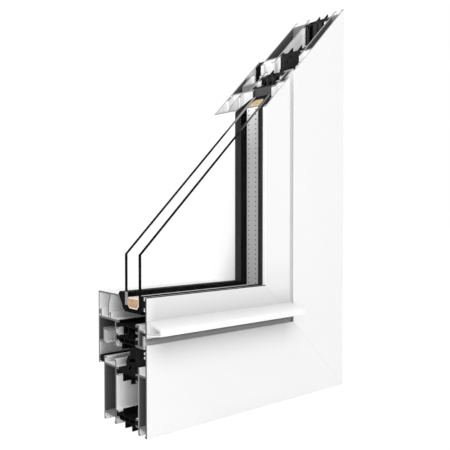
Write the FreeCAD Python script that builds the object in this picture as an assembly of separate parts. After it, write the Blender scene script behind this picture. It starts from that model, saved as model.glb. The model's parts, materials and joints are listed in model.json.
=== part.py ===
import FreeCAD, Part
import math
import os

V = FreeCAD.Vector

# A corner cut out of a tilt and turn window in a thermally broken aluminium system.
# Every section is drawn in two measures. depth runs from the outer face, at 0, to the room.
# height runs from the frame's outer edge towards the glass.
# The same section runs along the bottom as a rail and up the side as a jamb,
# and the two meet in a mitre. A straight cut ends the rails and a slanted cut ends the jambs.

# The sample
sample_width = 235.0
sample_height = 377.0
kink_height = 141.0

# Aluminium walls and their feet
skin = 1.6
web_wall = 2.0
lip_wall = 1.2
edge_round = 0.5
edge_ease = 0.3
foot_lip = 1.1
foot_height = 1.8
tube_depth = 12.2

# Outer frame
frame_depth = 65.0
frame_face = 72.0
frame_inner_depth = 20.0
frame_leg = 5.3
frame_tube_height = 42.7
frame_upstand = 5.0
upstand_lip = 3.0
frame_groove_height = 63.7
frame_groove_cavity = 2.6
frame_groove_mouth = 1.6

# Sash
sash_projection = 9.0
sash_gap = 5.0
sash_face = 32.0
sash_drop = 8.7
sash_recess = 4.4
rebate_depth = 22.6
sash_overlap = 7.0
sash_tube_height = 9.4
sash_channel = 5.1
sash_nose = 5.1
leg_chamber = 6.2
hardware_height = 11.0
groove_lip = 3.4
groove_lip_rise = 2.7
web_foot_in = 1.6
web_foot_out = 2.3

# Insulating bars and the pockets that hold them
foot_base = 4.4
foot_neck = 3.0
foot_depth = 3.6
hook_wall = 1.9
bar_fit = 0.1
bar_top = 1.6
bar_thick = 4.9
bar_plate = 1.8
bar_chamber_wall = 1.1
bar_chambers = 3
bar_taper = 1.8
fin_wall = 1.3
fin_long = 6.3
fin_short = 5.1
wall_fin_set = 8.4
rebate_fin_set = 9.6
glass_fin_set = 13.8
middle_fin_web_set = 14.0
far_fin_web_set = 11.0
gap_fin_web_set = 9.8
glass_fin_web_set = 12.0
frame_wall_bar_height = 8.9
frame_rebate_bar_drop = 3.9
sash_gap_bar_rise = 3.7
sash_glass_bar_drop = 4.0

# Glass unit
pane = 4.0
cavity = 16.0
glass_cover = 14.2
spacer_inset = 3.3
spacer_height = 8.5
spacer_wall = 0.7
spacer_chamfer = 2.6

# Gaskets and the grooves that hold them
outer_gasket_depth = 5.5
seal_gap = 0.3
gasket_fit = 0.1
gasket_wall = 1.5
groove_mouth = 5.4
groove_cavity = 8.6
groove_reach = 2.1
foot_stand = 0.5
gasket_drop = 0.3
gasket_taper = 0.6
gasket_rise = 1.0
stop_cavity = 2.4
stop_mouth = 1.2
stop_lip = 0.7
stop_reach = 1.5
stop_rise = 4.9
stop_lip_rise = 0.6
stop_lip_drop = 5.7
gasket_cap = 2.7
gasket_lap = 0.9
dome_wide = 17.4
dome_height = 15.2
dome_leg = 2.3
dome_lip = 3.0

# Glazing bead
bead_wall = 1.4
bead_drop = 1.5
bead_fit = 0.2
bead_nose = 9.5
bead_lip_drop = 5.5
bead_lip_lean = 3.4
bead_web_top = 21.3
bead_web_set = 17.4
bead_hook = 0.9
bead_block = 4.1
bead_block_rise = 1.5
upstand_set = 20.3
upstand_rise = 5.0
retainer_set = 5.3
retainer_rise = 6.6

# Weather bar
bar_reach = 19.0
bar_root = 11.2
bar_tip_drop = 3.9
bar_tip_height = 5.1
bar_base_drop = 7.0
bar_wall = 1.5
bar_root_wall = 2.6
cap_wall = 1.5

# Corner cleats inside the chambers
cleat_fit = 0.2
cleat_arm = 46.0
cleat_wall = 2.0
cleat_end = 5.0

# Places that follow from the sizes above
sash_depth = frame_depth + sash_projection
frame_chamber_top = frame_leg + frame_tube_height
frame_top = frame_chamber_top + frame_upstand
frame_web = frame_depth - frame_inner_depth
sash_bottom_face = frame_face + sash_gap
sash_top = sash_bottom_face + sash_face
sash_base = sash_bottom_face - sash_drop
rebate_floor = sash_top - rebate_depth
overlap_bottom = frame_top - sash_overlap
frame_bar_height = frame_chamber_top - frame_rebate_bar_drop
sash_gap_bar_height = sash_base + sash_gap_bar_rise
sash_glass_bar_height = rebate_floor - sash_glass_bar_drop
outer_pane_face = skin + outer_gasket_depth
cavity_face = outer_pane_face + pane
inner_pane_face = cavity_face + cavity
room_pane_face = inner_pane_face + pane
glass_edge = sash_top - glass_cover
spacer_base = glass_edge + spacer_inset
spacer_top = spacer_base + spacer_height
bead_top = sash_top - bead_drop
bead_bottom = rebate_floor + bead_fit
bead_lip = room_pane_face + bead_nose
outer_gasket_height = sash_top - gasket_drop - groove_cavity / 2 - lip_wall
stop_gasket_height = overlap_bottom + stop_rise
retainer = sash_depth - retainer_set
retainer_top = rebate_floor + retainer_rise
upstand = sash_depth - upstand_set
upstand_top = rebate_floor + upstand_rise
wall_fin = tube_depth + wall_fin_set
rebate_fin = tube_depth + rebate_fin_set
glass_fin = tube_depth + glass_fin_set
middle_web_fin = frame_web - middle_fin_web_set
far_web_fin = frame_web - far_fin_web_set
gap_web_fin = frame_web - gap_fin_web_set
glass_web_fin = frame_web - glass_fin_web_set
cut_slope = (sample_height - kink_height) / sample_width
beyond = 60.0

origin = V(sample_width / 2, (sash_depth - bar_reach) / 2, 0)


def outline(*points, bevel=False):
    """A closed face in depth and height. A third number rounds that corner, or bevels it."""
    corners = [V(0, p[0], p[1]) for p in points]
    radii = [p[2] if len(p) > 2 else 0.0 for p in points]
    spans = []
    for i, corner in enumerate(corners):
        back = (corners[i - 1] - corner).normalize()
        ahead = (corners[(i + 1) % len(corners)] - corner).normalize()
        half = back.getAngle(ahead) / 2
        setback = radii[i] / math.tan(half)
        middle = corner
        if radii[i] > 0 and not bevel:
            inward = (back + ahead).normalize()
            middle = corner + inward * (radii[i] / math.sin(half) - radii[i])
        spans.append((corner + back * setback, middle, corner + ahead * setback))
    edges = []
    for i, (enter, middle, leave) in enumerate(spans):
        if radii[i] > 0 and bevel:
            edges.append(Part.LineSegment(enter, leave).toShape())
        elif radii[i] > 0:
            edges.append(Part.Arc(enter, middle, leave).toShape())
        following = spans[(i + 1) % len(spans)][0]
        if leave.distanceToPoint(following) > 1e-6:
            edges.append(Part.LineSegment(leave, following).toShape())
    return Part.Face(Part.Wire(edges))


def slab(depth_a, height_a, depth_b, height_b, ease_a=0.0, ease_b=0.0):
    """A wall of the section. ease_a bevels its lower end and ease_b its upper end."""
    low, high = sorted((depth_a, depth_b))
    return outline((low, height_a, ease_a), (high, height_a, ease_a),
                   (high, height_b, ease_b), (low, height_b, ease_b), bevel=True)


def join(*faces):
    """Fuses walls into one section: the end face of a thin block made of them all."""
    slices = [face.extrude(V(1, 0, 0)) for face in faces]
    block = slices[0].multiFuse(slices[1:]).removeSplitter()
    ends = [face for face in block.Faces if face.BoundBox.XMax < 1e-6]
    return ends[0] if len(ends) == 1 else Part.makeCompound(ends)


def foot(depth, side):
    """The thickened end of a frame leg, on the side it stands out to."""
    return slab(depth - side * skin / 2, 0, depth + side * foot_lip, foot_height, edge_ease, edge_ease)


def pocket(depth, side, height):
    """The two hooks on a web that grip the foot of an insulating bar."""
    hooks = []
    for way in (1, -1):
        base = height + way * (foot_base / 2 + bar_fit)
        neck = height + way * (foot_neck / 2 + bar_fit)
        outside = neck + way * hook_wall
        tip = depth + side * foot_depth
        back = depth - side * web_wall / 2
        hooks.append(outline((back, base), (depth, base), (tip, neck, edge_ease), (tip, outside, edge_round),
                             (back, outside), bevel=True))
    return join(*hooks)


def bar_foot(depth, side, height):
    """The dovetail foot of an insulating bar, seated in its pocket."""
    near = depth + side * bar_fit
    tip = depth + side * foot_depth
    far = tip + side * (bar_fit + edge_ease)
    return outline((near, height - foot_base / 2, edge_ease), (near, height + foot_base / 2, edge_ease),
                   (tip, height + foot_neck / 2), (far, height + foot_neck / 2),
                   (far, height - foot_neck / 2), (tip, height - foot_neck / 2), bevel=True)


def finned(height, body, low, high, fins):
    """Adds the feet and fins to the body of a bar. Each fin is a depth and how far it stands out."""
    pieces = [body, bar_foot(tube_depth, 1, height), bar_foot(frame_web, -1, height)]
    for depth, reach in fins:
        left = depth - fin_wall / 2
        right = depth + fin_wall / 2
        if reach > 0:
            pieces.append(slab(left, high - edge_ease, right, high + reach, 0, edge_ease))
        else:
            pieces.append(slab(left, low + reach, right, low + edge_ease, edge_ease, 0))
    return join(*pieces)


def hollow_bar(height, *fins):
    """A thick insulating bar with a row of chambers, hung a little below its feet."""
    start = tube_depth + foot_depth + bar_fit
    end = frame_web - foot_depth - bar_fit
    top = height + bar_top
    bottom = top - bar_thick
    waist = height - foot_neck / 2
    body = outline((start, top), (end, top), (end, waist), (end - bar_taper, bottom),
                   (start + bar_taper, bottom), (start, waist))
    inner = end - start - 2 * bar_taper
    pitch = (inner + bar_chamber_wall) / bar_chambers
    for i in range(bar_chambers):
        left = start + bar_taper + i * pitch
        body = body.cut(slab(left, bottom + bar_chamber_wall, left + pitch - bar_chamber_wall,
                             top - bar_chamber_wall, edge_ease, edge_ease))
    return finned(height, body, bottom, top, fins)


def flat_bar(height, *fins):
    """A flat insulating bar, level with the top of its feet."""
    high = height + foot_neck / 2 + edge_ease
    low = high - bar_plate
    body = slab(tube_depth + foot_depth + bar_fit, low, frame_web - foot_depth - bar_fit, high)
    return finned(height, body, low, high, fins)


def groove(depth, side, height, cavity_height, mouth, reach=groove_reach, lip=lip_wall):
    """The open channel that holds the foot of a gasket."""
    outer = cavity_height / 2 + lip
    inside = depth + side * (reach - lip)
    tip = depth + side * reach
    back = depth - side * skin / 2
    parts = []
    for way in (1, -1):
        low, high = sorted((height + way * cavity_height / 2, height + way * outer))
        parts.append(slab(back, low, tip, high))
        low, high = sorted((height + way * mouth / 2, height + way * outer))
        parts.append(slab(inside, low, tip, high, edge_ease / 2, edge_ease / 2))
    return parts


def gasket_foot(depth, side, height, cavity_height, mouth, reach=groove_reach, lip=lip_wall):
    """The T shaped foot of a gasket, seated in its groove and standing a little out of it."""
    head = slab(depth + side * gasket_fit, height - cavity_height / 2 + gasket_fit,
                depth + side * (reach - lip - gasket_fit), height + cavity_height / 2 - gasket_fit)
    stem = slab(depth + side * 2 * gasket_fit, height - mouth / 2 + gasket_fit,
                depth + side * (reach + foot_stand), height + mouth / 2 - gasket_fit)
    return join(head, stem)


def frame_outer_section():
    """Outer frame tube with its face flange."""
    web = tube_depth - web_wall
    walls = [
        slab(0, 0, skin, frame_face, edge_ease, edge_round),
        slab(web, 0, tube_depth, frame_top, edge_ease, edge_round),
        slab(skin / 2, frame_leg, tube_depth - web_wall / 2, frame_leg + skin),
        slab(skin / 2, frame_chamber_top - skin, tube_depth - web_wall / 2, frame_chamber_top),
        foot(skin, 1),
        foot(web, -1),
        pocket(tube_depth, 1, frame_wall_bar_height),
        pocket(tube_depth, 1, frame_bar_height),
    ]
    walls += groove(skin, 1, frame_groove_height, frame_groove_cavity, frame_groove_mouth)
    return join(*walls)


def frame_inner_section():
    """Room side frame tube with the groove for the fittings on top."""
    wall = frame_depth - skin
    web = frame_web + web_wall
    lip_low = frame_top - lip_wall
    return join(
        slab(wall, 0, frame_depth, frame_top, edge_ease, edge_round),
        slab(frame_web, 0, web, frame_top, edge_ease, edge_round),
        slab(frame_web + web_wall / 2, frame_leg, frame_depth - skin / 2, frame_leg + skin),
        slab(frame_web + web_wall / 2, frame_chamber_top - skin, frame_depth - skin / 2, frame_chamber_top),
        slab(wall - upstand_lip, lip_low, frame_depth - skin / 2, frame_top, edge_ease, edge_ease),
        slab(frame_web + web_wall / 2, lip_low, web + upstand_lip, frame_top, edge_ease, edge_ease),
        foot(wall, -1),
        foot(web, 1),
        pocket(frame_web, -1, frame_wall_bar_height),
        pocket(frame_web, -1, frame_bar_height))


def sash_outer_section():
    """Outer sash tube with its face flange and the groove for the glazing gasket."""
    web = tube_depth - web_wall
    shoulder = sash_bottom_face + skin
    ceiling = rebate_floor - sash_channel
    walls = [
        slab(0, sash_bottom_face, skin, sash_top, edge_round, edge_round),
        slab(web, sash_base, tube_depth, rebate_floor),
        slab(web, rebate_floor - skin, tube_depth + foot_depth, rebate_floor, 0, edge_ease),
        slab(skin / 2, ceiling, tube_depth - web_wall / 2, ceiling + skin),
        slab(skin / 2, sash_bottom_face, sash_recess + skin, shoulder),
        slab(sash_recess, sash_base, sash_recess + skin, shoulder),
        slab(sash_recess, sash_base, tube_depth - web_wall / 2, sash_base + skin),
        pocket(tube_depth, 1, sash_gap_bar_height),
        pocket(tube_depth, 1, sash_glass_bar_height),
    ]
    walls += groove(skin, 1, outer_gasket_height, groove_cavity, groove_mouth)
    return join(*walls)


def sash_inner_section():
    """Room side sash tube: upper chamber, leg chamber, groove for the fittings and bead seats."""
    wall = sash_depth - skin
    web = frame_web + web_wall
    tube_floor = rebate_floor - sash_tube_height
    leg_inner = wall - leg_chamber
    leg_bottom = tube_floor - skin - hardware_height
    lip_low = leg_bottom + groove_lip_rise
    walls = [
        slab(wall, overlap_bottom, sash_depth, rebate_floor, edge_round, 0),
        slab(frame_web - sash_nose, rebate_floor - skin, sash_depth, rebate_floor, edge_ease, 0),
        slab(frame_web, leg_bottom, web, rebate_floor),
        slab(frame_web + web_wall / 2, tube_floor - skin, leg_inner, tube_floor),
        slab(leg_inner - skin, leg_bottom, leg_inner, tube_floor),
        slab(leg_inner - skin, leg_bottom, sash_depth - skin / 2, leg_bottom + skin),
        slab(leg_inner - skin - groove_lip, leg_bottom, leg_inner, leg_bottom + lip_wall,
             edge_ease, edge_ease),
        slab(frame_web + web_wall / 2, lip_low, web + groove_lip, lip_low + lip_wall, edge_ease, edge_ease),
        slab(frame_web - web_foot_out, leg_bottom, web + web_foot_in, leg_bottom + lip_wall,
             edge_ease, edge_ease),
        slab(retainer, rebate_floor - skin / 2, retainer + lip_wall, retainer_top, 0, edge_ease),
        slab(upstand, rebate_floor - skin / 2, upstand + lip_wall, upstand_top),
        slab(upstand, upstand_top - lip_wall, upstand + lip_wall + bead_hook, upstand_top,
             edge_ease, edge_ease),
        pocket(frame_web, -1, sash_gap_bar_height),
        pocket(frame_web, -1, sash_glass_bar_height),
    ]
    walls += groove(wall, -1, stop_gasket_height, stop_cavity, stop_mouth, stop_reach, stop_lip)
    return join(*walls)


def bead_section():
    """Glazing bead: room wall, top, bowed web with its toe, and the lip for the inner gasket."""
    wall = sash_depth - bead_wall
    web_low = sash_depth - bead_web_set
    web_top = sash_depth - bead_web_top
    bend = upstand_top + upstand_rise / 2
    arc_top = bead_top - bead_wall / 2
    lean = web_low - web_top
    rise = arc_top - bend
    radius = (lean ** 2 + rise ** 2) / (2 * lean)
    middle = web_low - radius + math.sqrt(radius ** 2 - (rise / 2) ** 2)
    halfway = bend + rise / 2
    toe_top = upstand_top - lip_wall - bead_fit

    curve_out = Part.Arc(V(0, web_low, bend), V(0, middle, halfway), V(0, web_top, arc_top)).toShape()
    curve_in = Part.Arc(V(0, web_top + bead_wall, arc_top), V(0, middle + bead_wall, halfway),
                        V(0, web_low + bead_wall, bend)).toShape()
    close_top = Part.LineSegment(V(0, web_top, arc_top), V(0, web_top + bead_wall, arc_top)).toShape()
    close_foot = Part.LineSegment(V(0, web_low + bead_wall, bend), V(0, web_low, bend)).toShape()
    bowed_web = Part.Face(Part.Wire([curve_out, close_top, curve_in, close_foot]))
    lip_end = bead_lip - bead_lip_lean
    return join(
        slab(wall, bead_bottom, sash_depth, bead_top, 0, edge_round),
        slab(bead_lip, bead_top - bead_wall, sash_depth - edge_round, bead_top),
        outline((bead_lip, bead_top), (lip_end, bead_top - bead_lip_drop, edge_ease),
                (lip_end + lip_wall, bead_top - bead_lip_drop, edge_ease),
                (bead_lip + 2 * bead_wall, bead_top - bead_wall), (bead_lip + 2 * bead_wall, bead_top)),
        bowed_web,
        slab(web_low, bead_bottom, web_low + bead_wall, bend + edge_ease),
        slab(upstand + lip_wall + 2 * bead_fit, toe_top - lip_wall, web_low + bead_wall, toe_top,
             edge_ease, 0),
        slab(retainer + lip_wall + bead_fit, bead_bottom + bead_block_rise, sash_depth - bead_wall / 2,
             bead_bottom + bead_block_rise + bead_block, edge_ease, edge_ease))


def centre_gasket_section():
    """Main seal on the frame's insulating bar: a hollow dome with a lip up to the sash."""
    base = frame_bar_height + foot_neck / 2 + edge_ease
    front = tube_depth + gasket_fit
    hook_tip = tube_depth + foot_depth + bar_fit
    over_hook = frame_bar_height + foot_neck / 2 + bar_fit + hook_wall + gasket_fit
    toe = frame_web - foot_depth - bar_fit
    peak = sash_base - seal_gap

    def at(across, up):
        """A place on the dome, in parts of its width and height."""
        return (front + across * dome_wide, base + up * dome_height)

    def lip_at(across, drop):
        """A place on the lip, across the dome and down from the lip's peak."""
        return (front + across * dome_wide, peak - drop)

    body = outline(
        (hook_tip, base), (toe, base), (toe, base + dome_leg, edge_ease), (at(1.09, 0)[0], base + dome_leg),
        at(1.0, 0.36), (*at(1.0, 0.56), 4.0), (*at(0.88, 0.86), 3.0), (*at(0.61, 1.0), 0.8),
        lip_at(0.68, 1.5 * dome_lip), lip_at(0.77, dome_lip), lip_at(0.7, dome_lip / 2),
        lip_at(0.5, edge_ease), lip_at(0.27, 0), lip_at(0.2, edge_ease), at(0.18, 0.98),
        (*at(0.1, 0.77), 2.0), at(0.05, 0.62), (front, frame_top - edge_ease), (front, over_hook),
        (hook_tip, over_hook))
    crescent = outline(at(0.74, 0.6), at(0.71, 0.73), at(0.57, 0.82), at(0.34, 0.84),
                       at(0.2, 0.77), at(0.24, 0.69), at(0.44, 0.65))
    left_hole = outline(at(0.56, 0.44), at(0.64, 0.43), at(0.79, 0.26),
                        at(0.76, 0.19), at(0.67, 0.19), at(0.55, 0.31))
    right_hole = outline(at(0.28, 0.41), at(0.18, 0.45), at(0.12, 0.39), at(0.12, 0.3), at(0.25, 0.28))
    return body.cut(crescent).cut(left_hole).cut(right_hole)


def stop_gasket_section():
    """Room side stop seal at the bottom of the sash, wrapped round its groove in the overlap leg."""
    wall = sash_depth - skin
    face = frame_depth + seal_gap
    top = frame_top + stop_lip_rise
    tip = frame_top - stop_lip_drop
    half = stop_cavity / 2 + stop_lip + gasket_fit
    low = stop_gasket_height - half
    high = stop_gasket_height + half
    body = outline((wall - gasket_fit, low - stop_lip, edge_ease),
                   (wall - gasket_fit, top - stop_lip, edge_ease),
                   (wall - stop_reach - 2 * stop_lip, top, edge_ease), (face, top, edge_ease),
                   (face, tip + stop_lip), (face + gasket_wall, tip, edge_ease))
    body = body.cut(slab(wall - stop_reach - gasket_fit, low, wall, high))
    stem = gasket_foot(wall, -1, stop_gasket_height, stop_cavity, stop_mouth, stop_reach, stop_lip)
    return join(body, stem)


def outer_gasket_section():
    """Glazing gasket between the sash flange and the outer pane."""
    root = skin + groove_reach + gasket_fit
    low = outer_gasket_height - groove_cavity / 2 - lip_wall
    high = outer_gasket_height + groove_cavity / 2 + lip_wall
    body = outline((root, low + gasket_taper, edge_round), (outer_pane_face, low - gasket_taper, edge_round),
                   (outer_pane_face, high + gasket_rise, edge_ease),
                   (root, high - gasket_taper, edge_round))
    return join(body, gasket_foot(skin, 1, outer_gasket_height, groove_cavity, groove_mouth))


def inner_gasket_section():
    """Wedge gasket between the inner pane and the lip of the bead."""
    lip_end = bead_lip - bead_lip_lean
    top = bead_top + gasket_cap
    return outline((room_pane_face, glass_edge + edge_round), (room_pane_face, top, edge_round),
                   (bead_lip - gasket_lap, top, edge_round),
                   (bead_lip + gasket_lap, bead_top + gasket_fit, edge_ease),
                   (bead_lip - gasket_fit, bead_top + gasket_fit),
                   (lip_end - gasket_fit, bead_top - bead_lip_drop),
                   (lip_end - bead_lip_lean, bead_top - 2 * bead_lip_drop, edge_round))


def spacer_outline(inset):
    """Outside of the spacer, or its inside when inset by the wall."""
    low = cavity_face + inset
    high = inner_pane_face - inset
    cut = spacer_chamfer - inset * (2 - math.sqrt(2))
    return outline((low, spacer_base + inset + cut), (low + cut, spacer_base + inset),
                   (high - cut, spacer_base + inset), (high, spacer_base + inset + cut),
                   (high, spacer_top - inset), (low, spacer_top - inset))


def edge_seal_section():
    """Sealant under and beside the spacer, flush with the edges of the panes."""
    block = slab(cavity_face, glass_edge, inner_pane_face, spacer_base + spacer_chamfer)
    return block.cut(spacer_outline(0.0))


def weather_bar_outline(inset, root_inset):
    """Weather bar from the sash face to its tip, or its inside when inset by its walls."""
    root_low = rebate_floor - bar_base_drop
    root_top = root_low + bar_root
    tip_top = root_top - bar_tip_drop
    tip_low = tip_top - bar_tip_height
    rise = (tip_low - root_low) / bar_reach
    fall = (root_top - tip_top) / bar_reach
    tip = bar_reach - inset
    return outline((-root_inset, root_top - fall * root_inset - inset),
                   (-root_inset, root_low + rise * root_inset + inset),
                   (-tip, root_low + rise * tip + inset), (-tip, root_top - fall * tip - inset))


def prism(*points):
    """A block that runs through the whole depth, drawn by across and up."""
    wire = Part.makePolygon([V(x, -beyond, z) for x, z in points] + [V(points[0][0], -beyond, points[0][1])])
    return Part.Face(wire).extrude(V(0, sash_depth + 2 * beyond, 0))


past_mitre = prism((sample_width + beyond, -beyond), (sample_width + beyond, sample_height),
                   (sample_width - sample_height, sample_height))
before_mitre = prism((sample_width + beyond, -beyond), (sample_width - sample_height, sample_height),
                     (-sample_height, -beyond))
past_cut = prism((-beyond, kink_height - cut_slope * beyond), (-beyond, 2 * sample_height),
                 (sample_width + beyond, 2 * sample_height),
                 (sample_width + beyond, sample_height + cut_slope * beyond))


def rail(section):
    """Runs a section along the bottom, from the straight cut to the mitre."""
    return section.extrude(V(sample_width, 0, 0)).cut(past_mitre)


def jamb(section):
    """Runs the same section up the side, from the mitre to the slanted cut."""
    turned = section.copy()
    turned.rotate(V(0, 0, 0), V(0, 1, 0), -90)
    turned.translate(V(sample_width, 0, 0))
    return turned.extrude(V(0, 0, sample_height)).cut(before_mitre).cut(past_cut)


def glass(face):
    """A pane from the straight cut to its hidden edge, cut off on the slant."""
    edge = sample_width - glass_edge
    wire = Part.makePolygon([V(0, face, glass_edge), V(edge, face, glass_edge), V(edge, face, sample_height),
                             V(0, face, sample_height), V(0, face, glass_edge)])
    return Part.Face(wire).extrude(V(0, pane, 0)).cut(past_cut)


def cleat(depth_a, depth_b, height_a, height_b):
    """Corner cleat in one chamber: an L with a pocket in each arm."""
    low, high = sorted((depth_a, depth_b))
    thick = high - low - 2 * cleat_fit
    start = low + cleat_fit
    inner = height_b - cleat_fit
    outer = height_a + cleat_fit
    reach = height_b + cleat_arm
    corner_out = sample_width - outer
    corner_in = sample_width - inner
    end = sample_width - reach

    def plate(points):
        """A flat plate in the plane of the window, as thick as the cleat."""
        wire = Part.makePolygon([V(x, start, z) for x, z in points] + [V(points[0][0], start, points[0][1])])
        return Part.Face(wire).extrude(V(0, thick, 0))

    body = plate([(end, outer), (corner_out, outer), (corner_out, reach), (corner_in, reach),
                  (corner_in, inner), (end, inner)])
    pocket_end = sample_width - height_b - cleat_end
    along = plate([(end + cleat_end, outer + cleat_wall), (pocket_end, outer + cleat_wall),
                   (pocket_end, inner - cleat_wall), (end + cleat_end, inner - cleat_wall)])
    upward = plate([(corner_in + cleat_wall, height_b + cleat_end),
                    (corner_out - cleat_wall, height_b + cleat_end),
                    (corner_out - cleat_wall, reach - cleat_end),
                    (corner_in + cleat_wall, reach - cleat_end)])
    return body.cut(along).cut(upward)


nodes = {}
paired = {
    "frame_{}_outer_shell": frame_outer_section(),
    "frame_{}_inner_shell": frame_inner_section(),
    "frame_{}_wall_bar": hollow_bar(frame_wall_bar_height, (far_web_fin, fin_short),
                                    (middle_web_fin, -fin_short), (wall_fin, -fin_short)),
    "frame_{}_rebate_bar": flat_bar(frame_bar_height, (far_web_fin, -fin_long), (rebate_fin, -fin_long)),
    "sash_{}_outer_shell": sash_outer_section(),
    "sash_{}_inner_shell": sash_inner_section(),
    "sash_{}_gap_bar": hollow_bar(sash_gap_bar_height, (gap_web_fin, -fin_short), (wall_fin, fin_short)),
    "sash_{}_glass_bar": flat_bar(sash_glass_bar_height, (glass_web_fin, -fin_long), (glass_fin, -fin_long)),
    "centre_gasket_{}": centre_gasket_section(),
    "stop_gasket_{}": stop_gasket_section(),
    "outer_glazing_gasket_{}": outer_gasket_section(),
    "inner_glazing_gasket_{}": inner_gasket_section(),
    "glazing_bead_{}": bead_section(),
    "spacer_{}": spacer_outline(0.0).cut(spacer_outline(spacer_wall)),
    "desiccant_{}": spacer_outline(spacer_wall),
    "edge_seal_{}": edge_seal_section(),
}
for name, section in paired.items():
    nodes[name.format("rail")] = rail(section)
    nodes[name.format("jamb")] = jamb(section)

nodes["outer_pane"] = glass(outer_pane_face)
nodes["inner_pane"] = glass(inner_pane_face)

bar_length = sample_width - sash_bottom_face - cap_wall
bar_outside = weather_bar_outline(0, 0)
bar_inside = weather_bar_outline(bar_wall, bar_root_wall)
nodes["weather_bar"] = bar_outside.cut(bar_inside).extrude(V(bar_length, 0, 0))
cap = bar_outside.extrude(V(cap_wall, 0, 0))
cap.translate(V(bar_length, 0, 0))
nodes["weather_bar_end_cap"] = cap

nodes["frame_outer_cleat"] = cleat(skin, tube_depth - web_wall, frame_leg + skin, frame_chamber_top - skin)
nodes["frame_inner_cleat"] = cleat(frame_web + web_wall, frame_depth - skin, frame_leg + skin,
                                   frame_chamber_top - skin)
nodes["sash_inner_cleat"] = cleat(frame_web + web_wall, sash_depth - skin, rebate_floor - sash_tube_height,
                                  rebate_floor - skin)

os.makedirs("parts", exist_ok=True)
for name, shape in nodes.items():
    solids = shape.Solids
    piece = solids[0] if len(solids) == 1 else Part.makeCompound(solids)
    piece.translate(-origin)
    piece.exportStep("parts/" + name + ".step")
    box = piece.BoundBox
    print("%-30s solids %d valid %s faces %d volume %.0f box %.1f %.1f %.1f" % (
        name, len(solids), piece.isValid(), len(piece.Faces), piece.Volume,
        box.XLength, box.YLength, box.ZLength))
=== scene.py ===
import json
import math

import bmesh
import bpy
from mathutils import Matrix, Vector


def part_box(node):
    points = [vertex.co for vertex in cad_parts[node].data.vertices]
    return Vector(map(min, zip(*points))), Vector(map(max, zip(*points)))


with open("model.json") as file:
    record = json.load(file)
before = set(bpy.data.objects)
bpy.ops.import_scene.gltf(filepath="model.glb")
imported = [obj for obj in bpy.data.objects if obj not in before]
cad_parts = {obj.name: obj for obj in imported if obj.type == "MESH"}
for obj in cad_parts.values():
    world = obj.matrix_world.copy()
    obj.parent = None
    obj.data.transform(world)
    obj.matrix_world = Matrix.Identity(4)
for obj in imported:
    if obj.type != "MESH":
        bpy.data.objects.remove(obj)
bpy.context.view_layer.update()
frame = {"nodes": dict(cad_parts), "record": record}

# Places taken from the frame, in metres
MM = 0.001
RAIL_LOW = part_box("frame_rail_outer_shell")[0]
JAMB_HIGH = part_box("frame_jamb_outer_shell")[1]
BAR_LOW, BAR_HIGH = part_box("weather_bar")
CUT_X = RAIL_LOW.x
SIDE_X = JAMB_HIGH.x
FACE_Y = RAIL_LOW.y
TOP_Z = JAMB_HIGH.z

# Slope of the slanted cut, and how far in from each cut its own face is taken to reach, in mm
CUT_SLOPE = 1.0043
STRAIGHT_SLACK = 0.05
SLANTED_SLACK = 0.08
FACE_SLACK = 0.1
MITRE_LINE = 0.2

# Section of the weather bar: slopes of its base and top, wall and reach in mm
BAR_RISE = 0.116
BAR_FALL = 0.205
BAR_WALL = 1.5
BAR_REACH = 19.0
BAR_ROOT = -0.2

# Zones of the section in millimetres: least and greatest depth, least and greatest height.
# The chambers' zones take in the inner faces of each closed chamber
CHAMBERS = (
    (46.0, 64.2, 6.1, 47.2),
    (0.8, 11.0, 6.1, 47.2),
    (46.0, 73.2, 76.2, 85.6),
    (65.4, 73.2, 65.2, 77.0),
    (5.2, 11.0, 69.1, 79.0),
    (0.8, 11.0, 78.4, 82.0),
)
SASH_FACE = (-FACE_SLACK, 0.25, 76.0, 110.0)
FRAME_FACE = (-FACE_SLACK, 0.25, 40.0, 73.0)
# The sash bar's top zone below is painted with a sheen on the jamb
SASH_BAR_TOP = (12.0, 41.0, 82.0, 87.5)
BEAD_TOP = (41.0, 74.2, 107.2, 108.0)
WEB_FACE = (44.6, 45.05, 8.0, 44.0)
PALE_EDGE = (26.0, 32.0, 100.2, 110.8)

# The gap between the outer faces of frame and sash, its back wall, and how far up the jamb it shades
GAP = (0.3, 12.4, 69.0, 79.2)
GAP_BACK = 4.6
GAP_WALL = (4.2, GAP_BACK, 69.0, 78.0)
GAP_END = 84.0

# Shades as levels from 0 to 255. A stage gives where it starts, where it ends and the level there.
# A ramp gives where it starts and ends, and its value at each end
SASH_SHADE = {"rail": (215, ((90.0, 109.0, 236),)),
              "cut": (226.0, 235.0), "cut_amount": 0.7, "cut_level": 250,
              "jamb": (212, ((91.0, 106.0, 238), (106.0, 135.0, 248)))}
FRAME_SHADE = {"height": (44.0, 73.0), "along": (60.0, 85.0), "cut": (218.0, 234.0, 1.0, 0.25),
               "amount": 0.7, "level": 165}
BAR_SHADE = {"depth": (-18.0, BAR_ROOT), "root_level": 222, "lip_level": 254}
BEAD_SHADE = {"along": (112.0, 195.0, 1.0, 0.0), "depth": (41.0, 74.0), "amount": 0.6,
              "levels": (255, 190)}
GAP_SHADE = {"height": (71.8, 75.6), "levels": (200, 118),
             "mouth": (0.0, 3.0, 1.0, 0.0), "mouth_level": 235}
MITRE_SHADE = {"amount": 0.3, "level": 160}
CHAMBER_SHADE = {"jamb": (90, 148), "rail": (110, 175), "deep": (0.0, 26.0), "deep_levels": (98, 40)}

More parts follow.
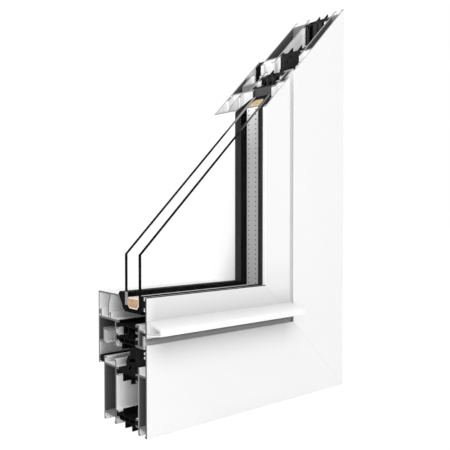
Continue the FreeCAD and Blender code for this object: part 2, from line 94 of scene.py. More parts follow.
# Levels of each material, a pair being what its grain or a mask runs between
FRAME_COAT_LEVELS = (246, 250)
SASH_COAT_LEVELS = (238, 243)
# Sawn metal greys are painted shade, darker on frame and sash than on the weather bar
SAWN_METAL = {"frame_and_bar": (100, 212), "bar_base": (252, 160), "slanted": (110, 170)}
POLYAMIDE = {"rail": (8, 22), "jamb": (4, 58), "sash_top": 86, "sawn": (7, 30)}
# The rubber's levels by place are painted sheen and shade
RUBBER = {"jamb": (40, 52), "rail": (18, 28), "stop_gasket": 8, "room_side": (6, 12),
          "weather_side": (34, 44), "sawn": (6, 14)}
GLASS = {"edge": (1, 6), "pale_edge": (128, 152), "hazy_edge": (145, 100), "face": 245}
SEALANT_LEVELS = (2, 7)
ALUMINIUM_LEVELS = (190, 212)
COAT_ROUGHNESS = (0.34, 0.46)

# Mostly painted shade inside the grooves, darker further in, with a few edge lines: each a zone with
# its level at the cut and TONE_REACH further in
TONE_REACH = 14.0
RAIL_TONES = (
    ((12.0, 57.0, 85.5, 106.5), 254, 185),
    ((57.0, 72.5, 86.5, 95.0), 255, 205),
    ((57.0, 72.5, 95.0, 106.0), 240, 180),
    ((46.5, 66.0, 60.0, 76.5), 232, 180),
    ((-FACE_SLACK, 1.7, 108.3, 109.2), 25, 25),
    ((37.8, 42.5, 84.0, 87.5), 12, 12),
)
JAMB_TONES = (
    ((0.2, 1.5, 71.9, 72.2), 250, 250),
    ((41.2, 45.1, 10.3, 12.6), 222, 222),
    ((37.8, 41.0, 84.0, 88.0), 86, 86),
)
# Painted shade on upright faces on the rail: zone, the way in where each starts and ends to darken, and
# its level
DEEP_FACES = (
    (WEB_FACE, 9.0, 18.0, 227),
    ((44.5, 64.5, 48.5, 62.0), 2.0, 11.0, 172),
    ((71.0, 73.0, 48.0, 65.0), 0.0, 3.0, 198),
    ((64.5, 73.0, 66.0, 77.0), 3.0, 9.0, 215),
)
# Painted shade on the cuts, a level at a zone's least and greatest depth. Walls are painted darker
# towards their chambers
STRAIGHT_TONES = (
    ((-FACE_SLACK, 1.7, 0.0, 110.0), 85, 45),
    ((10.1, 11.2, 6.0, 47.5), 110, 60),
    ((11.2, 12.3, 6.0, 47.5), 165, 130),
    ((45.9, 47.1, 6.0, 47.5), 75, 45),
    ((1.8, 4.0, 60.0, 109.0), 190, 190),
)
SLANTED_TONES = (
    ((63.3, 65.1, 6.0, 47.5), 115, 125),
    ((-FACE_SLACK, 1.7, 47.5, 110.0), 188, 188),
)
# Stripes of painted light and shade that stand for mouldings on the jamb's wall bar, towards the space
# between the bars
BAR_TONES = (
    ((41.5, 45.5, 4.0, 14.0), 50, 40),
    ((40.1, 41.5, 4.0, 14.0), 26, 26),
    ((38.8, 40.1, 4.0, 14.0), 66, 66),
    ((31.9, 38.8, 4.0, 14.0), 8, 8),
    ((26.5, 31.9, 4.0, 14.0), 60, 54),
    ((25.1, 26.5, 4.0, 14.0), 8, 8),
)

# Faint glows that stand for light thrown back from nearby faces, as ramps by height or by the way in
GAP_GLOW = (69.5, 72.5, 0.24, 0.03)
WEB_GLOW = (1.0, 11.0, 0.15, 0.0)
BAR_GLOW = (0.05, 25.0, 0.06, 0.0)
SPACER_GLOW = (6.0, 12.0, 0.0, 0.28)

# Panes, spacer, gaskets and bars, with places and reaches in millimetres
GLASS_IOR = 1.5
# GLASS_SHINE weighs the painted reflection on the panes' faces
GLASS_SHINE = 0.07
HAZY_EDGE = (114.0, 134.0, 1.0, 0.0)
OUTER_HALF = 20.0
SPACER_TOP = 106.6
# Painted shade of the spacer up the jamb: the level at the bottom and the stages it runs through
SPACER_JAMB = (146, ((112.0, 225.0, 167), (228.0, 258.0, 202), (258.0, 268.0, 245)))
SPACER_RAIL = (0.0, 12.0)
SPACER_RIM = (25.0, 26.5)
SPACER_GRAIN = 0.12
SPACER_LEVELS = {"rail": 225, "grain": 255, "holes": 20, "seal_line": 45, "slanted_rim": 40}
SEAL_LINE = 12.2
DOT_ROWS = (15.2, 24.4)
DOT_PITCH = 4.4
DOT_START = 1.3
DOT_RADIUS = 0.68
DOT_DEPTH = 0.2
STOP_GASKET_DEPTH = 60.0
STREAK_EDGES = (0.42, 0.58)

# Camera, solved from the photo
CAMERA_PLACE = (-0.37746, -0.42484, 0.17498)
CAMERA_YAW = math.radians(49.561)
CAMERA_PITCH = math.radians(-1.278)
CAMERA_LENS = 49.556
SENSOR = 36.0
CLIP_START = 0.01

# Light levels. A level of 1 shows a colour as it is written
SKY_LEVEL = 0.7
FLOOR_GLOW = 1.08
FLOOR_BLEND = 0.85
FLOOR_COLOUR = (0.9, 0.9, 0.9, 1.0)
FLOOR_SIZE = 6.0
LAMPS = {
    "key_lamp": {"direction": (0.05, -1.0, 0.45), "level": 0.13},
    "top_lamp": {"direction": (-0.6, -0.2, 0.9), "level": 0.24},
    "side_lamp": {"direction": (-1.0, 0.0, 0.15), "level": 0.26},
    "fill_lamp": {"direction": (-0.7, -0.7, 0.1), "level": 0.14},
}
LAMP_DISTANCE = 1.6
LAMP_SIZE = 1.2


def srgb(value):
    """The linear value of one display level from 0 to 255."""
    level = value / 255
    if level <= 0.04045:
        return level / 12.92
    return ((level + 0.055) / 1.055) ** 2.4


def tone(red, green, blue):
    """A colour from three display levels."""
    return (srgb(red), srgb(green), srgb(blue), 1.0)


def grey(value):
    """A neutral colour from one display level."""
    return tone(value, value, value)


class Nodes:
    """Short calls for making and wiring shader nodes in one tree."""

    def __init__(self, tree):
        self.tree = tree

    def make(self, kind, **settings):
        node = self.tree.nodes.new(kind)
        for key, value in settings.items():
            setattr(node, key, value)
        return node

    def wire(self, source, target):
        self.tree.links.new(source, target)

    def put(self, value, socket):
        """Wires a socket, or sets a plain value."""
        if isinstance(value, bpy.types.NodeSocket):
            self.wire(value, socket)
        else:
            socket.default_value = value

    def maths(self, operation, a, b=0.0, clamp=False):
        node = self.make("ShaderNodeMath", operation=operation, use_clamp=clamp)
        self.put(a, node.inputs[0])
        self.put(b, node.inputs[1])
        return node.outputs[0]

    def product(self, first, *others):
        for other in others:
            first = self.maths("MULTIPLY", first, other)
        return first

    def less(self, mask, other):
        """A mask with another taken away, never below 0."""
        return self.maths("SUBTRACT", mask, other, clamp=True)

    def inverse(self, mask):
        return self.maths("SUBTRACT", 1.0, mask)

    def inside(self, depth, height, zone):
        """A mask of 1 where depth and height lie in a zone of the section."""
        low_depth, high_depth, low_height, high_height = zone
        return self.product(self.maths("GREATER_THAN", depth, low_depth),
                            self.maths("LESS_THAN", depth, high_depth),
                            self.maths("GREATER_THAN", height, low_height),
                            self.maths("LESS_THAN", height, high_height))

    def mix(self, amount, a, b):
        node = self.make("ShaderNodeMix", data_type="RGBA")
        self.put(amount, node.inputs[0])
        self.put(a, node.inputs[6])
        self.put(b, node.inputs[7])
        return node.outputs[2]

    def greys(self, amount, low, high):
        """A grey that runs from one display level to another."""
        return self.mix(amount, grey(low), grey(high))

    def ramp(self, value, low, high, start=0.0, end=1.0):
        """A value that runs from start to end while the input runs from low to high."""
        node = self.make("ShaderNodeMapRange")
        self.wire(value, node.inputs["Value"])
        numbers = {"From Min": low, "From Max": high, "To Min": start, "To Max": end}
        for label, number in numbers.items():
            node.inputs[label].default_value = number
        return node.outputs["Result"]

    def steps(self, value, start, stages):
        """A grey that runs on to each stage's level while the input passes the stage."""
        shade = grey(start)
        for low, high, level in stages:
            shade = self.mix(self.ramp(value, low, high), shade, grey(level))
        return shade

    def bump(self, height, strength, distance):
        node = self.make("ShaderNodeBump")
        node.inputs["Strength"].default_value = strength
        node.inputs["Distance"].default_value = distance
        self.wire(height, node.inputs["Height"])
        return node.outputs["Normal"]


def new_group(name, inputs, outputs):
    """A node group with named sockets. Inputs give their kind and default, outputs their kind."""
    tree = bpy.data.node_groups.new(name, "ShaderNodeTree")
    for label, (kind, default) in inputs.items():
        tree.interface.new_socket(label, in_out="INPUT", socket_type=kind).default_value = default
    for label, kind in outputs.items():
        tree.interface.new_socket(label, in_out="OUTPUT", socket_type=kind)
    n = Nodes(tree)
    return tree, n, n.make("NodeGroupInput").outputs, n.make("NodeGroupOutput").inputs


def object_place(n):
    """The place on the object, and its three parts."""
    place = n.make("ShaderNodeTexCoord").outputs["Object"]
    split = n.make("ShaderNodeSeparateXYZ")
    n.wire(place, split.inputs[0])
    return place, *split.outputs


def section_place_group():
    """Where a point lies in the section, in mm: depth from the outer face and height from the edge.

    Along is the distance from the outer corner, Rail is 1 on the bottom, and Facing is 1 where the
    surface looks straight out of the window or into the room.
    """
    tree, n, _, out = new_group("section_place", {}, {
        "Depth": "NodeSocketFloat", "Height": "NodeSocketFloat", "Along": "NodeSocketFloat",
        "Rail": "NodeSocketFloat", "Facing": "NodeSocketFloat", "Place": "NodeSocketVector"})
    place, x, y, z = object_place(n)
    from_side = n.maths("SUBTRACT", SIDE_X, x)
    n.wire(n.maths("DIVIDE", n.maths("SUBTRACT", y, FACE_Y), MM), out["Depth"])
    n.wire(n.maths("DIVIDE", n.maths("MINIMUM", from_side, z), MM), out["Height"])
    n.wire(n.maths("DIVIDE", n.maths("MAXIMUM", from_side, z), MM), out["Along"])
    n.wire(n.maths("LESS_THAN", z, from_side), out["Rail"])
    turn = n.make("ShaderNodeSeparateXYZ")
    n.wire(n.make("ShaderNodeTexCoord").outputs["Normal"], turn.inputs[0])
    n.wire(n.maths("GREATER_THAN", n.maths("ABSOLUTE", turn.outputs[1]), 0.5), out["Facing"])
    n.wire(place, out["Place"])
    return tree


def cut_face_group():
    """A mask of 1 on both cuts and one on the slanted cut, and the way in from the nearer, in mm."""
    tree, n, _, out = new_group("cut_face", {}, {
        "Cut": "NodeSocketFloat", "Slanted": "NodeSocketFloat", "Deep": "NodeSocketFloat"})
    _, x, _, z = object_place(n)
    straight = n.maths("LESS_THAN", x, CUT_X + STRAIGHT_SLACK * MM)
    drop = n.maths("MULTIPLY", n.maths("SUBTRACT", SIDE_X, x), CUT_SLOPE)
    limit = n.maths("SUBTRACT", TOP_Z - SLANTED_SLACK * MM, drop)
    slanted = n.maths("GREATER_THAN", z, limit)
    n.wire(n.maths("MAXIMUM", straight, slanted), out["Cut"])
    n.wire(slanted, out["Slanted"])
    way_in = n.maths("MINIMUM", n.maths("SUBTRACT", x, CUT_X), n.maths("SUBTRACT", limit, z))
    n.wire(n.maths("DIVIDE", way_in, MM), out["Deep"])
    return tree


def grain_group():
    """Fine noise, as a level and as a colour between two. It is drawn out where Stretch is small."""
    tree, n, given, out = new_group("grain", {
        "Place": ("NodeSocketVector", (0.0, 0.0, 0.0)),
        "Stretch": ("NodeSocketVector", (1.0, 1.0, 1.0)),
        "Scale": ("NodeSocketFloat", 500.0), "Detail": ("NodeSocketFloat", 2.0),
        "Roughness": ("NodeSocketFloat", 0.5), "Low": ("NodeSocketColor", grey(0)),
        "High": ("NodeSocketColor", grey(255))}, {
        "Level": "NodeSocketFloat", "Colour": "NodeSocketColor"})
    stretch = n.make("ShaderNodeMapping")
    n.wire(given["Place"], stretch.inputs["Vector"])
    n.wire(given["Stretch"], stretch.inputs["Scale"])
    noise = n.make("ShaderNodeTexNoise")
    n.wire(stretch.outputs[0], noise.inputs["Vector"])
    for label in ("Scale", "Detail", "Roughness"):
        n.wire(given[label], noise.inputs[label])
    n.wire(noise.outputs["Fac"], out["Level"])
    n.wire(n.mix(noise.outputs["Fac"], given["Low"], given["High"]), out["Colour"])
    return tree


SECTION_PLACE = section_place_group()
CUT_FACE = cut_face_group()
GRAIN = grain_group()


def use_group(n, tree):
    """Places a node group and gives its outputs."""
    return n.make("ShaderNodeGroup", node_tree=tree).outputs


def grain(n, place, scale, detail=2.0, levels=(0, 255), **others):
    """Places the grain with its own values. The levels are of the colours that it runs between."""
    node = n.make("ShaderNodeGroup", node_tree=GRAIN)
    n.wire(place["Place"], node.inputs["Place"])
    low, high = levels
    values = {"Scale": scale, "Detail": detail, "Low": grey(low), "High": grey(high), **others}
    for label, value in values.items():
        node.inputs[label].default_value = value
    return node.outputs


def empty_tree(owner, output_kind):
    """Clears the nodes of a material or world and gives it an output of its own."""
    owner.use_nodes = True
    owner.node_tree.nodes.clear()
    n = Nodes(owner.node_tree)
    return n, n.make(output_kind).inputs["Surface"]


def new_material(name, roughness=0.5, specular=0.5, metallic=0.0):
    """A material with its shader, and a point's place in the section and on the cuts."""
    material = bpy.data.materials.new(name)
    n, surface = empty_tree(material, "ShaderNodeOutputMaterial")
    shader = n.make("ShaderNodeBsdfPrincipled")
    n.wire(shader.outputs["BSDF"], surface)
    shader.inputs["Roughness"].default_value = roughness
    shader.inputs["Specular IOR Level"].default_value = specular
    shader.inputs["Metallic"].default_value = metallic
    return material, n, shader.inputs, use_group(n, SECTION_PLACE), use_group(n, CUT_FACE)


def zone_mask(n, place, zone):
    """1 where a point lies in a zone of the section."""
    return n.inside(place["Depth"], place["Height"], zone)


def glow_from(n, shader, amount):
    """Gives off a faint white glow of the given amount."""
    n.wire(n.greys(amount, 0, 255), shader["Emission Color"])
    shader["Emission Strength"].default_value = 1.0


def toned(n, place, base, tones, mask, reach=None):
    """Lays tones over a colour. Each runs with reach, or else across its zone from the least depth."""
    for zone, start, end in tones:
        across = n.ramp(place["Depth"], zone[0], zone[1]) if reach is None else reach
        amount = n.product(zone_mask(n, place, zone), mask)
        base = n.mix(amount, base, n.greys(across, start, end))
    return base


def sash_face(n, place, coat):
    """Painted soft shade on the sash's outer face over the weather bar, clearing up the jamb, and
    painted light by the cut.
    """
    rail = n.steps(place["Height"], *SASH_SHADE["rail"])
    by_cut = n.product(n.ramp(place["Along"], *SASH_SHADE["cut"]), SASH_SHADE["cut_amount"])
    rail = n.mix(by_cut, rail, grey(SASH_SHADE["cut_level"]))
    jamb = n.steps(place["Along"], *SASH_SHADE["jamb"])
    return n.mix(zone_mask(n, place, SASH_FACE), coat, n.mix(place["Rail"], jamb, rail))


def frame_face(n, place, coat):
    """The weather bar's shadow on the frame's outer face below it."""
    near = n.ramp(place["Height"], *FRAME_SHADE["height"])
    far = n.ramp(place["Along"], *FRAME_SHADE["along"])
    by_cut = n.ramp(place["Along"], *FRAME_SHADE["cut"])
    zone = zone_mask(n, place, FRAME_FACE)
    amount = n.product(near, near, far, place["Rail"], by_cut, zone, FRAME_SHADE["amount"])
    return n.mix(amount, coat, grey(FRAME_SHADE["level"]))


def weather_bar_top(n, place, coat):
    """Painted shade on the weather bar's top, darker towards its root, and painted light on its bright
    lip.
    """
    root = n.ramp(place["Depth"], *BAR_SHADE["depth"])
    top = n.mix(root, coat, grey(BAR_SHADE["root_level"]))
    bar = n.mix(place["Facing"], top, grey(BAR_SHADE["lip_level"]))
    return n.mix(n.maths("LESS_THAN", place["Depth"], -FACE_SLACK), coat, bar)


def bead_top(n, place, coat):
    """The glazing bead's top on the jamb in painted light, whiter than the coat, with a painted soft
    shade near the lower corner by the glass.
    """
    low = n.ramp(place["Along"], *BEAD_SHADE["along"])
    back = n.ramp(place["Depth"], *BEAD_SHADE["depth"])
    corner = n.product(n.less(n.product(low, low), back), BEAD_SHADE["amount"])
    on_jamb = n.less(zone_mask(n, place, BEAD_TOP), place["Rail"])
    return n.mix(on_jamb, coat, n.greys(corner, *BEAD_SHADE["levels"]))


def mitre_joint(n, place, coat):
    """The hairline where the jamb meets the rail."""
    joint = n.maths("LESS_THAN", n.maths("SUBTRACT", place["Along"], place["Height"]), MITRE_LINE)
    joint = n.product(joint, n.maths("GREATER_THAN", place["Depth"], -FACE_SLACK))
    return n.mix(n.product(joint, MITRE_SHADE["amount"]), coat, grey(MITRE_SHADE["level"]))


def gap_faces(n, place, cut, coat, reach, low_end):
    """Painted light and shade in the gap between frame and sash under the weather bar: bright at its
    mouth and dim above.
    """
    gap = n.product(zone_mask(n, place, GAP), low_end)
    under_bar = n.greys(n.ramp(place["Height"], *GAP_SHADE["height"]), *GAP_SHADE["levels"])
    bright = n.less(n.maths("GREATER_THAN", place["Depth"], GAP_BACK), reach)
    bright = n.maths("MAXIMUM", bright, n.ramp(cut["Deep"], *GAP_SHADE["mouth"]))
    return n.mix(gap, coat, n.mix(bright, under_bar, grey(GAP_SHADE["mouth_level"])))


def chamber_faces(n, place, cut, coat):
    """Painted shade inside the closed chambers: speckled floors, and walls painted darker further in.
    """
    speckle = grain(n, place, scale=420.0, detail=4.0, Roughness=0.7)["Level"]
    jamb = n.greys(speckle, *CHAMBER_SHADE["jamb"])
    rail = n.greys(speckle, *CHAMBER_SHADE["rail"])
    dark = n.greys(n.ramp(cut["Deep"], *CHAMBER_SHADE["deep"]), *CHAMBER_SHADE["deep_levels"])
    inner = n.mix(place["Facing"], n.mix(place["Rail"], jamb, rail), dark)
    mask = zone_mask(n, place, CHAMBERS[0])
    for zone in CHAMBERS[1:]:
        mask = n.maths("MAXIMUM", mask, zone_mask(n, place, zone))
    return n.mix(mask, coat, inner)


def bar_zones(n, place):
    """The height over the weather bar's sloping base, and a mask of the faces inside its hollow."""
    lean = n.maths("MULTIPLY", place["Depth"], BAR_RISE)
    over_base = n.maths("SUBTRACT", n.maths("ADD", place["Height"], lean), BAR_LOW.z / MM)
    fall = n.maths("MULTIPLY", place["Depth"], BAR_FALL)
    under_top = n.maths("SUBTRACT", BAR_HIGH.z / MM, n.maths("SUBTRACT", place["Height"], fall))
    half_wall = BAR_WALL / 2
    zone = (half_wall - BAR_REACH, BAR_ROOT, half_wall, BAR_REACH)
    hollow = n.inside(place["Depth"], over_base, zone)
    below_top = n.maths("GREATER_THAN", under_top, half_wall)
    return over_base, n.product(hollow, below_top, place["Rail"])


def cut_metal(n, place, cut, over_base):
    """Bare sawn metal: even on the straight cut, with fine saw lines on the slanted cut. Its greys are
    painted shade: darker on frame and sash than on the weather bar, and set zone by zone.
    """
    bar = n.maths("LESS_THAN", place["Depth"], BAR_ROOT)
    straight = n.greys(bar, *SAWN_METAL["frame_and_bar"])
    base_zone = (-BAR_REACH, BAR_ROOT, -FACE_SLACK, BAR_WALL + FACE_SLACK)
    base_tone = n.greys(n.ramp(over_base, 0.0, BAR_WALL), *SAWN_METAL["bar_base"])
    straight = n.mix(n.inside(place["Depth"], over_base, base_zone), straight, base_tone)
    straight = toned(n, place, straight, STRAIGHT_TONES, place["Rail"])
    lines = grain(n, place, 2600.0, detail=3.0, levels=SAWN_METAL["slanted"], Stretch=(1.0, 0.04, 1.0))
    slanted = toned(n, place, lines["Colour"], SLANTED_TONES, cut["Slanted"])
    return n.mix(cut["Slanted"], straight, slanted)


def white_coat(name, levels):
    """White powder coat with a fine orange peel and bare metal on the cuts, under painted shade and
    light on the outer faces, in the grooves, the gap and the chambers, with faint painted glows.
    """
    material, n, shader, place, cut = new_material(name, specular=0.2)
    coat = grain(n, place, scale=14.0, detail=3.0, levels=levels)["Colour"]
    for shade in (sash_face, frame_face, weather_bar_top, bead_top, mitre_joint):
        coat = shade(n, place, coat)
    reach = n.ramp(cut["Deep"], 0.0, TONE_REACH)
    coat = toned(n, place, coat, RAIL_TONES, place["Rail"], reach)
    coat = toned(n, place, coat, JAMB_TONES, n.inverse(place["Rail"]), reach)
    low_end = n.maths("MAXIMUM", place["Rail"], n.maths("LESS_THAN", place["Along"], GAP_END))
    coat = gap_faces(n, place, cut, coat, reach, low_end)
    upright = n.product(place["Facing"], place["Rail"])
    for zone, start, end, level in DEEP_FACES:
        amount = n.product(zone_mask(n, place, zone), upright, n.ramp(cut["Deep"], start, end))
        coat = n.mix(amount, coat, grey(level))
    coat = chamber_faces(n, place, cut, coat)
    over_base, hollow = bar_zones(n, place)
    n.wire(n.mix(cut["Cut"], coat, cut_metal(n, place, cut, over_base)), shader["Base Color"])

    gap = n.less(zone_mask(n, place, GAP_WALL), low_end)
    gap_glow = n.product(gap, n.ramp(place["Height"], *GAP_GLOW))
    web = n.product(zone_mask(n, place, WEB_FACE), upright)
    web_glow = n.product(web, n.ramp(cut["Deep"], *WEB_GLOW))
    bar_glow = n.product(hollow, n.ramp(cut["Deep"], *BAR_GLOW), n.inverse(cut["Cut"]))
    glow_from(n, shader, n.maths("ADD", n.maths("ADD", gap_glow, web_glow), bar_glow))
    peel = grain(n, place, scale=1500.0)["Level"]
    n.wire(n.bump(peel, strength=0.12, distance=0.05 * MM), shader["Normal"])
    sheen = grain(n, place, scale=500.0)["Level"]
    n.wire(n.ramp(sheen, 0.0, 1.0, *COAT_ROUGHNESS), shader["Roughness"])
    return material


def black_polyamide():
    """Glass fibre polyamide: matt black with a fine grain. On the jamb, drawn streaks and stripes are
    painted light and shade, and the sash bar's top a painted sheen.
    """
    material, n, shader, place, cut = new_material("black_polyamide", roughness=0.6, specular=0.03)
    fibres = grain(n, place, scale=1800.0, detail=3.0, levels=POLYAMIDE["rail"])
    drawn = grain(n, place, scale=280.0, detail=1.0, Stretch=(1.0, 1.0, 0.02))["Level"]
    # Painted light and shade on the jamb: drawn streaks, lighter than the rail's grain
    streaks = n.greys(n.ramp(drawn, *STREAK_EDGES), *POLYAMIDE["jamb"])
    on_jamb = n.inverse(place["Rail"])
    skin = n.mix(place["Rail"], streaks, fibres["Colour"])
    skin = toned(n, place, skin, BAR_TONES, on_jamb)
    # Painted sheen on the sash bar's top on the jamb
    sash_top = n.product(zone_mask(n, place, SASH_BAR_TOP), on_jamb)
    skin = n.mix(sash_top, skin, grey(POLYAMIDE["sash_top"]))
    sawn = n.greys(cut["Slanted"], *POLYAMIDE["sawn"])
    n.wire(n.mix(cut["Cut"], skin, sawn), shader["Base Color"])
    n.wire(n.bump(fibres["Level"], strength=0.25, distance=0.08 * MM), shader["Normal"])
    return material


def black_rubber():
    """Satin extruded rubber with a faint bloom, darker where it is cut. Its levels by place are painted
    sheen and shade.
    """
    material, n, shader, place, cut = new_material("black_rubber", roughness=0.6, specular=0.04)
    bloom = grain(n, place, scale=60.0, detail=3.0)["Level"]
    # Painted sheen and shade: sides lighter on the jamb than the rail and darkest on the stop gasket,
    # outward faces lighter near the weather side
    side = n.mix(place["Rail"], n.greys(bloom, *RUBBER["jamb"]), n.greys(bloom, *RUBBER["rail"]))
    stop_gasket = n.maths("GREATER_THAN", place["Depth"], STOP_GASKET_DEPTH)
    side = n.mix(stop_gasket, side, grey(RUBBER["stop_gasket"]))
    outer = n.maths("LESS_THAN", place["Depth"], OUTER_HALF)
    front = n.mix(outer, n.greys(bloom, *RUBBER["room_side"]), n.greys(bloom, *RUBBER["weather_side"]))
    skin = n.mix(place["Facing"], side, front)
    sawn = n.greys(cut["Slanted"], *RUBBER["sawn"])
    n.wire(n.mix(cut["Cut"], skin, sawn), shader["Base Color"])
    fine = grain(n, place, scale=2400.0)["Level"]
    n.wire(n.bump(fine, strength=0.2, distance=0.05 * MM), shader["Normal"])
    return material


def clear_glass():
    """Float glass. Its cut edges are dark, with a pale band level with the bead. The faces' pale
    colour, shown through a Fresnel alpha, is a painted reflection.
    """
    material, n, shader, place, cut = new_material("clear_glass", roughness=0.5, specular=0.02)
    fine = grain(n, place, scale=900.0)["Level"]
    dark = n.greys(fine, *GLASS["edge"])
    edge = n.mix(zone_mask(n, place, PALE_EDGE), dark, n.greys(fine, *GLASS["pale_edge"]))
    hazy = n.greys(n.maths("LESS_THAN", place["Depth"], OUTER_HALF), *GLASS["hazy_edge"])
    edge = n.mix(n.product(n.ramp(place["Height"], *HAZY_EDGE), cut["Slanted"]), edge, hazy)
    # The faces' pale colour is a painted reflection of the white surroundings
    n.wire(n.mix(place["Facing"], edge, grey(GLASS["face"])), shader["Base Color"])
    fresnel = n.make("ShaderNodeFresnel")
    fresnel.inputs["IOR"].default_value = GLASS_IOR
    outside = n.inverse(n.make("ShaderNodeNewGeometry").outputs["Backfacing"])
    seen = n.make("ShaderNodeLightPath").outputs["Is Camera Ray"]
    shine = n.product(fresnel.outputs[0], GLASS_SHINE, seen, outside)
    n.wire(n.maths("MAXIMUM", n.inverse(place["Facing"]), shine), shader["Alpha"])
    return material


def dot_holes(n, place):
    """Two rows of fine holes along the top of the spacer."""
    from_start = n.maths("SUBTRACT", place["Along"], DOT_START)
    turn = n.maths("FRACT", n.maths("DIVIDE", from_start, DOT_PITCH))
    along = n.product(n.maths("SUBTRACT", turn, 0.5), DOT_PITCH)
    holes = 0.0
    for row in DOT_ROWS:
        across = n.maths("SUBTRACT", place["Depth"], row)
        squares = n.maths("ADD", n.product(along, along), n.product(across, across))
        holes = n.maths("MAXIMUM", n.maths("LESS_THAN", squares, DOT_RADIUS ** 2), holes)
    return n.product(holes, n.maths("GREATER_THAN", place["Height"], SPACER_TOP - DOT_DEPTH))


def grey_spacer():
    """Pale spacer strip with two rows of fine holes towards the space between the panes. Its tone rises
    in stages up the jamb as painted shade, and the rail's strip glows faintly as painted light.
    """
    material, n, shader, place, cut = new_material("grey_spacer", roughness=0.4, specular=0.3)
    fine = grain(n, place, scale=900.0, detail=3.0)["Level"]
    holes = dot_holes(n, place)
    # Painted shade up the jamb
    jamb = n.steps(place["Along"], *SPACER_JAMB)
    rail = n.mix(n.ramp(cut["Deep"], *SPACER_RAIL), tone(236, 222, 212), grey(SPACER_LEVELS["rail"]))
    seal_line = n.less(n.maths("LESS_THAN", place["Depth"], SEAL_LINE), place["Rail"])
    face = n.mix(place["Rail"], jamb, rail)
    masks = {"grain": n.product(fine, SPACER_GRAIN), "holes": holes, "seal_line": seal_line}
    for label, mask in masks.items():
        face = n.mix(mask, face, grey(SPACER_LEVELS[label]))
    rim = n.mix(n.ramp(place["Depth"], *SPACER_RIM), tone(240, 224, 210), tone(176, 158, 144))
    rim = n.mix(cut["Slanted"], rim, grey(SPACER_LEVELS["slanted_rim"]))
    n.wire(n.mix(cut["Cut"], face, rim), shader["Base Color"])
    glow_from(n, shader, n.product(place["Rail"], n.ramp(cut["Deep"], *SPACER_GLOW)))
    n.wire(n.bump(n.maths("SUBTRACT", fine, holes), strength=0.3, distance=0.1 * MM), shader["Normal"])
    return material


def tan_desiccant():
    """Packed drying beads, with painted shade between the beads, paler on the slanted cut."""
    material, n, shader, place, cut = new_material("tan_desiccant", roughness=0.8, specular=0.2)
    beads = n.make("ShaderNodeTexVoronoi", feature="F1")
    beads.inputs["Scale"].default_value = 620.0
    n.wire(place["Place"], beads.inputs["Vector"])
    pale = n.mix(cut["Slanted"], tone(208, 178, 146), tone(238, 216, 172))
    # Darker between the beads: painted shade
    n.wire(n.mix(beads.outputs["Distance"], pale, tone(150, 120, 88)), shader["Base Color"])
    round_beads = n.inverse(beads.outputs["Distance"])
    n.wire(n.bump(round_beads, strength=0.5, distance=0.3 * MM), shader["Normal"])
    return material


def edge_sealant():
    """Black sealant round the edge of the glass unit."""
    material, n, shader, place, _ = new_material("edge_sealant", roughness=0.6, specular=0.02)
    lumps = grain(n, place, scale=320.0, levels=SEALANT_LEVELS)
    n.wire(lumps["Colour"], shader["Base Color"])
    n.wire(n.bump(lumps["Level"], strength=0.4, distance=0.2 * MM), shader["Normal"])
    return material


def plain_aluminium():
    """Extruded aluminium with die lines."""
    material, n, shader, place, _ = new_material("plain_aluminium", roughness=0.35, metallic=1.0)
    lines = grain(n, place, scale=1200.0, detail=3.0, levels=ALUMINIUM_LEVELS)
    n.wire(lines["Colour"], shader["Base Color"])
    n.wire(n.bump(lines["Level"], strength=0.2, distance=0.05 * MM), shader["Normal"])
    return material


def dress_pieces():
    """Gives every solid its slot's material. The sash's coat is a little darker than the frame's."""
    frame_coat = white_coat("frame_powder_coat", FRAME_COAT_LEVELS)
    sash_coat = white_coat("sash_powder_coat", SASH_COAT_LEVELS)
    sealant = edge_sealant()
    materials = {
        "white_aluminium": frame_coat,
        "black_polyamide": black_polyamide(),
        "black_rubber": black_rubber(),
        "clear_glass": clear_glass(),
        "grey_spacer": grey_spacer(),
        "tan_desiccant": tan_desiccant(),
        "plain_aluminium": plain_aluminium(),
        "white_plastic": frame_coat,
    }
    slots = {part["node"]: part["material_slot"] for part in frame["record"]["subparts"]}
    for node, piece in frame["nodes"].items():
        material = materials[slots[node]]
        if node.startswith("edge_seal"):
            material = sealant
        if node.startswith("sash") and material is frame_coat:
            material = sash_coat
        piece.data.materials.clear()
        piece.data.materials.append(material)


def seen_as_white(n):
    """1 for the rays of the camera, of gloss and of glass, which see the ground as white."""
    path = n.make("ShaderNodeLightPath").outputs
    others = n.maths("MAXIMUM", path["Is Glossy Ray"], path["Is Transmission Ray"])
    return n.maths("MAXIMUM", path["Is Camera Ray"], others)


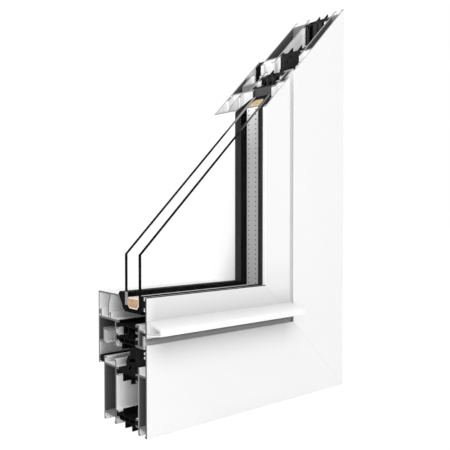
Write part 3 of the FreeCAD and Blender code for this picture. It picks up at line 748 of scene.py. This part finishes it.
def floor():
    """A pale floor that keeps the shadow and runs out of sight."""
    mesh = bpy.data.meshes.new("floor")
    shape = bmesh.new()
    bmesh.ops.create_grid(shape, x_segments=1, y_segments=1, size=FLOOR_SIZE)
    shape.to_mesh(mesh)
    shape.free()
    plane = bpy.data.objects.new("floor", mesh)
    bpy.context.scene.collection.objects.link(plane)
    material = bpy.data.materials.new("floor_white")
    n, surface = empty_tree(material, "ShaderNodeOutputMaterial")
    matt = n.make("ShaderNodeBsdfDiffuse")
    matt.inputs["Color"].default_value = FLOOR_COLOUR
    glow = n.make("ShaderNodeEmission")
    glow.inputs["Strength"].default_value = FLOOR_GLOW
    blend = n.make("ShaderNodeMixShader")
    n.wire(n.product(seen_as_white(n), FLOOR_BLEND), blend.inputs[0])
    n.wire(matt.outputs[0], blend.inputs[1])
    n.wire(glow.outputs[0], blend.inputs[2])
    n.wire(blend.outputs[0], surface)
    mesh.materials.append(material)


def sky():
    """An even pale sky that the camera, gloss and glass see as white."""
    world = bpy.data.worlds.new("studio")
    bpy.context.scene.world = world
    n, surface = empty_tree(world, "ShaderNodeOutputWorld")
    background = n.make("ShaderNodeBackground")
    background.inputs["Color"].default_value = grey(255)
    n.wire(n.ramp(seen_as_white(n), 0.0, 1.0, SKY_LEVEL, 1.0), background.inputs["Strength"])
    n.wire(background.outputs[0], surface)


def lamp(name, direction, level):
    """A soft square lamp aimed at the object that lights a facing surface to the given level."""
    middle = Vector(((CUT_X + SIDE_X) / 2, 0, TOP_Z / 2))
    away = Vector(direction).normalized()
    data = bpy.data.lights.new(name, "AREA")
    data.shape = "SQUARE"
    data.size = LAMP_SIZE
    data.energy = level * math.pi ** 2 * LAMP_DISTANCE ** 2
    piece = bpy.data.objects.new(name, data)
    piece.location = middle + away * LAMP_DISTANCE
    piece.rotation_euler = (-away).to_track_quat("-Z", "Y").to_euler()
    bpy.context.scene.collection.objects.link(piece)


def camera():
    """The camera at the photo's viewing angle."""
    data = bpy.data.cameras.new("camera")
    data.sensor_width = SENSOR
    data.lens = CAMERA_LENS
    data.clip_start = CLIP_START
    piece = bpy.data.objects.new("camera", data)
    piece.location = CAMERA_PLACE
    look = Vector((math.cos(CAMERA_YAW) * math.cos(CAMERA_PITCH),
                   math.sin(CAMERA_YAW) * math.cos(CAMERA_PITCH), math.sin(CAMERA_PITCH)))
    piece.rotation_euler = look.to_track_quat("-Z", "Y").to_euler()
    bpy.context.scene.collection.objects.link(piece)
    bpy.context.scene.camera = piece


dress_pieces()
floor()
sky()
for name, settings in LAMPS.items():
    lamp(name, **settings)
camera()
bpy.context.scene.view_settings.view_transform = "Standard"
